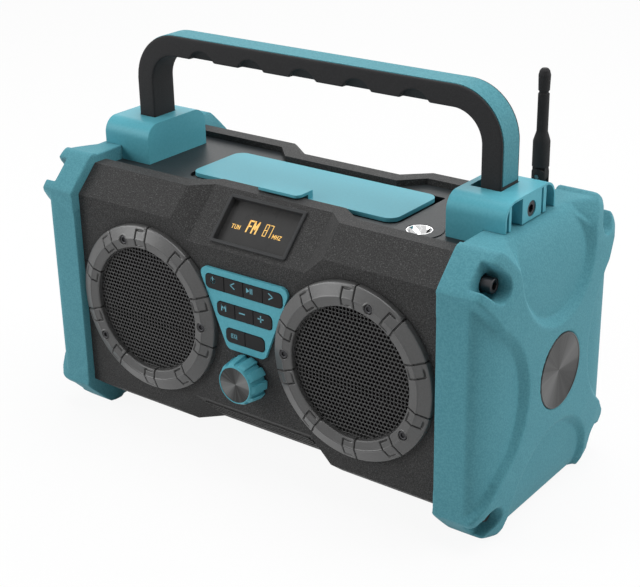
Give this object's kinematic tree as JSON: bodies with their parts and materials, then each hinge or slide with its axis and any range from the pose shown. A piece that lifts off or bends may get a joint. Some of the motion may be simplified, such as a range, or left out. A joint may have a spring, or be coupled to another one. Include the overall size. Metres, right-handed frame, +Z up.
{
  "type": "jobsite radio",
  "caption": "Rugged jobsite radio: twin speakers, tilted display, keys and knob between armoured end caps, with handle, lidded tray, lamp and folding antenna.",
  "frame": {"origin": "on the ground plane under the middle of the end caps", "axes": "+X towards the radio's right end as seen from the front, -Y out of the speaker side, +Z up"},
  "size_m": [0.3756, 0.1846, 0.272],
  "materials": {
    "dark_housing": "spark-textured charcoal plastic",
    "smooth_dark": "smooth satin charcoal plastic",
    "teal_armour": "finely textured teal plastic",
    "brushed_disc": "dark conically brushed metal",
    "black_rubber": "matt black rubber",
    "black_steel": "black oxide steel",
    "steel": "plain steel",
    "grille_steel": "black painted perforated steel",
    "chrome": "bright faceted reflector",
    "screen": "smoked display window",
    "lamp_lens": "clear lamp lens",
    "board": "circuit board",
    "cone_paper": "pressed paper cone"
  },
  "bodies": {
    "housing": {"front_housing": "dark_housing", "rear_housing": "dark_housing", "top_panel": "smooth_dark", "left_end_cap": "teal_armour", "right_end_cap": "teal_armour", "left_medallion": "brushed_disc", "right_medallion": "brushed_disc", "cap_screws": "black_steel", "handle_bar": "black_rubber", "handle_inlay": "teal_armour", "left_handle_mount": "teal_armour", "right_handle_mount": "teal_armour", "handle_screws": "black_steel", "antenna_base": "black_rubber", "left_speaker_ring": "smooth_dark", "right_speaker_ring": "smooth_dark", "left_grille": "grille_steel", "right_grille": "grille_steel", "ring_screws": "black_steel", "left_speaker_basket": "black_rubber", "right_speaker_basket": "black_rubber", "speaker_magnets": "steel", "speaker_surrounds": "black_rubber", "display_bezel": "smooth_dark", "display_lens": "screen", "display_module": "board", "keypad_plate": "teal_armour", "keypad_board": "board", "encoder": "steel", "lid_pin": "steel", "storage_tray": "smooth_dark", "usb_socket": "steel", "lamp_ring": "smooth_dark", "lamp_reflector": "chrome", "lamp_lens": "lamp_lens", "battery_pack": "smooth_dark", "power_jack": "black_rubber", "main_board": "board", "housing_screws": "steel"},
    "power_key": {"power_key": "black_rubber"},
    "back_key": {"back_key": "black_rubber"},
    "play_key": {"play_key": "black_rubber"},
    "forward_key": {"forward_key": "black_rubber"},
    "mode_key": {"mode_key": "black_rubber"},
    "volume_down_key": {"volume_down_key": "black_rubber"},
    "volume_up_key": {"volume_up_key": "black_rubber"},
    "equalizer_key": {"equalizer_key": "black_rubber"},
    "option_key": {"option_key": "black_rubber"},
    "knob": {"tuning_knob": "teal_armour", "knob_face": "brushed_disc", "knob_shaft": "steel"},
    "lid": {"lid": "teal_armour", "lid_seal": "black_rubber"},
    "antenna_swivel": {"antenna_knuckle": "black_rubber", "antenna_pin": "steel"},
    "antenna_whip": {"antenna_whip": "black_rubber"},
    "left_cone": {"left_speaker_cone": "cone_paper"},
    "right_cone": {"right_speaker_cone": "cone_paper"},
    "battery_door": {"battery_door": "dark_housing"},
    "port_flap": {"port_flap": "black_rubber"}
  },
  "joints": [
    {"name": "power_press", "type": "slide", "parent": "housing", "child": "power_key", "axis": [0, 1, 0], "range_m": [0, 0.001], "stiffness_N_per_m": 600, "springref_m": -0.001},
    {"name": "back_press", "type": "slide", "parent": "housing", "child": "back_key", "axis": [0, 1, 0], "range_m": [0, 0.001], "stiffness_N_per_m": 600, "springref_m": -0.001},
    {"name": "play_press", "type": "slide", "parent": "housing", "child": "play_key", "axis": [0, 1, 0], "range_m": [0, 0.001], "stiffness_N_per_m": 600, "springref_m": -0.001},
    {"name": "forward_press", "type": "slide", "parent": "housing", "child": "forward_key", "axis": [0, 1, 0], "range_m": [0, 0.001], "stiffness_N_per_m": 600, "springref_m": -0.001},
    {"name": "mode_press", "type": "slide", "parent": "housing", "child": "mode_key", "axis": [0, 1, 0], "range_m": [0, 0.001], "stiffness_N_per_m": 600, "springref_m": -0.001},
    {"name": "volume_down_press", "type": "slide", "parent": "housing", "child": "volume_down_key", "axis": [0, 1, 0], "range_m": [0, 0.001], "stiffness_N_per_m": 600, "springref_m": -0.001},
    {"name": "volume_up_press", "type": "slide", "parent": "housing", "child": "volume_up_key", "axis": [0, 1, 0], "range_m": [0, 0.001], "stiffness_N_per_m": 600, "springref_m": -0.001},
    {"name": "equalizer_press", "type": "slide", "parent": "housing", "child": "equalizer_key", "axis": [0, 1, 0], "range_m": [0, 0.001], "stiffness_N_per_m": 600, "springref_m": -0.001},
    {"name": "option_press", "type": "slide", "parent": "housing", "child": "option_key", "axis": [0, 1, 0], "range_m": [0, 0.001], "stiffness_N_per_m": 600, "springref_m": -0.001},
    {"name": "knob_turn", "type": "hinge", "parent": "housing", "child": "knob", "pos_m": [0, -0.078, 0.0705], "axis": [0, -1, 0], "continuous": true},
    {"name": "lid_open", "type": "hinge", "parent": "housing", "child": "lid", "pos_m": [0, 0.0185, 0.1798], "axis": [-1, 0, 0], "range_deg": [0, 95]},
    {"name": "antenna_turn", "type": "hinge", "parent": "housing", "child": "antenna_swivel", "pos_m": [0.1422, 0.04665, 0.203], "axis": [0, 0, 1], "range_deg": [-180, 180]},
    {"name": "antenna_fold", "type": "hinge", "parent": "antenna_swivel", "child": "antenna_whip", "pos_m": [0.1422, 0.04665, 0.203], "axis": [0, -1, 0], "range_deg": [0, 90]},
    {"name": "left_cone_stroke", "type": "slide", "parent": "housing", "child": "left_cone", "axis": [0, -1, 0], "range_m": [-0.0015, 0.0015], "stiffness_N_per_m": 1500},
    {"name": "right_cone_stroke", "type": "slide", "parent": "housing", "child": "right_cone", "axis": [0, -1, 0], "range_m": [-0.0015, 0.0015], "stiffness_N_per_m": 1500},
    {"name": "battery_door_open", "type": "hinge", "parent": "housing", "child": "battery_door", "pos_m": [0, 0.081, 0.041], "axis": [-1, 0, 0], "range_deg": [0, 95]},
    {"name": "port_flap_open", "type": "hinge", "parent": "housing", "child": "port_flap", "pos_m": [0.096, 0.0797, 0.067], "axis": [1, 0, 0], "range_deg": [0, 100]}
  ]
}
